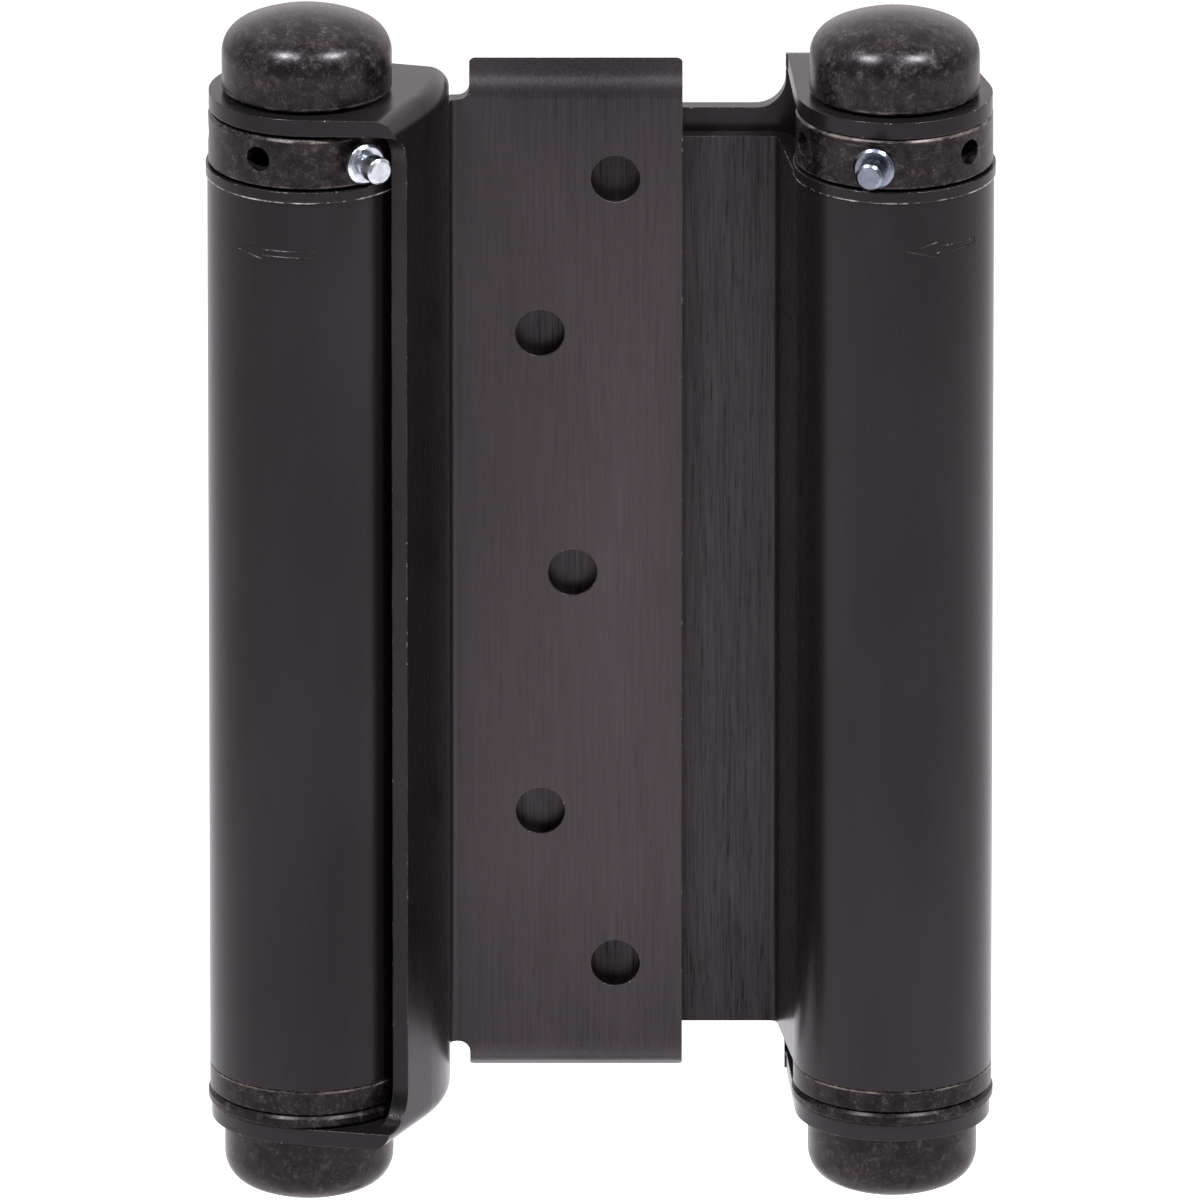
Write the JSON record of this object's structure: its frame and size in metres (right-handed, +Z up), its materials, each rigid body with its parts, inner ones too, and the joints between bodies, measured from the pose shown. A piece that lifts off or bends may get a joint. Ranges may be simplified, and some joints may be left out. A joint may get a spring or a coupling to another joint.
{
  "type": "double action spring hinge",
  "caption": "Double action spring hinge for a cafe door: two leaves and a centre web rolled into two sprung barrels with domed ends, pierced tension collars and pins.",
  "frame": {"origin": "on the rear face of the jamb leaf, midway between the two barrels and at mid height", "axes": "+Z up along the barrels, +Y out of the rear face into the jamb, +X towards the jamb leaf's barrel"},
  "size_m": [0.0752, 0.0276, 0.1194],
  "materials": {
    "black_sheet": "satin",
    "bronze": "oil rubbed, worn at the rims",
    "zinc": "bright plated",
    "steel": "oiled"
  },
  "bodies": {
    "jamb": {"jamb_leaf": "black_sheet", "spindle_b": "steel", "top_dome_b": "bronze", "bottom_dome_b": "bronze", "thrust_washer_b": "bronze"},
    "web": {"centre_web": "black_sheet", "bearing_sleeve_a": "black_sheet", "bearing_sleeve_b": "black_sheet", "anchor_ring_a": "bronze", "anchor_ring_b": "bronze", "torsion_spring_a": "steel", "torsion_spring_b": "steel"},
    "door": {"door_leaf": "black_sheet", "spindle_a": "steel", "top_dome_a": "bronze", "bottom_dome_a": "bronze", "thrust_washer_a": "bronze"},
    "collar_a": {"tension_collar_a": "bronze"},
    "collar_b": {"tension_collar_b": "bronze"},
    "pin_a": {"tension_pin_a": "zinc"},
    "pin_b": {"tension_pin_b": "zinc"}
  },
  "joints": [
    {"name": "web_swing", "type": "hinge", "parent": "jamb", "child": "web", "pos_m": [0.02795, -0.0136, 0], "axis": [0, 0, 1], "range_deg": [0, 110], "stiffness_Nm_per_rad": 0.2, "deforming": ["torsion_spring_b"]},
    {"name": "door_swing", "type": "hinge", "parent": "web", "child": "door", "pos_m": [-0.02795, -0.0136, 0], "axis": [0, 0, 1], "range_deg": [-110, 0], "stiffness_Nm_per_rad": 0.2, "deforming": ["torsion_spring_a"]},
    {"name": "collar_a_turn", "type": "hinge", "parent": "door", "child": "collar_a", "pos_m": [-0.02795, -0.0136, 0], "axis": [0, 0, 1], "range_deg": [-250, 4], "deforming": ["torsion_spring_a"]},
    {"name": "collar_b_turn", "type": "hinge", "parent": "jamb", "child": "collar_b", "pos_m": [0.02795, -0.0136, 0], "axis": [0, 0, 1], "range_deg": [-108, 146], "deforming": ["torsion_spring_b"]},
    {"name": "pin_a_pull", "type": "slide", "parent": "collar_a", "child": "pin_a", "axis": [0.5075, -0.8616, 0], "range_m": [0, 0.0047]},
    {"name": "pin_b_pull", "type": "slide", "parent": "collar_b", "child": "pin_b", "axis": [-0.1822, -0.9833, 0], "range_m": [0, 0.0047]}
  ]
}
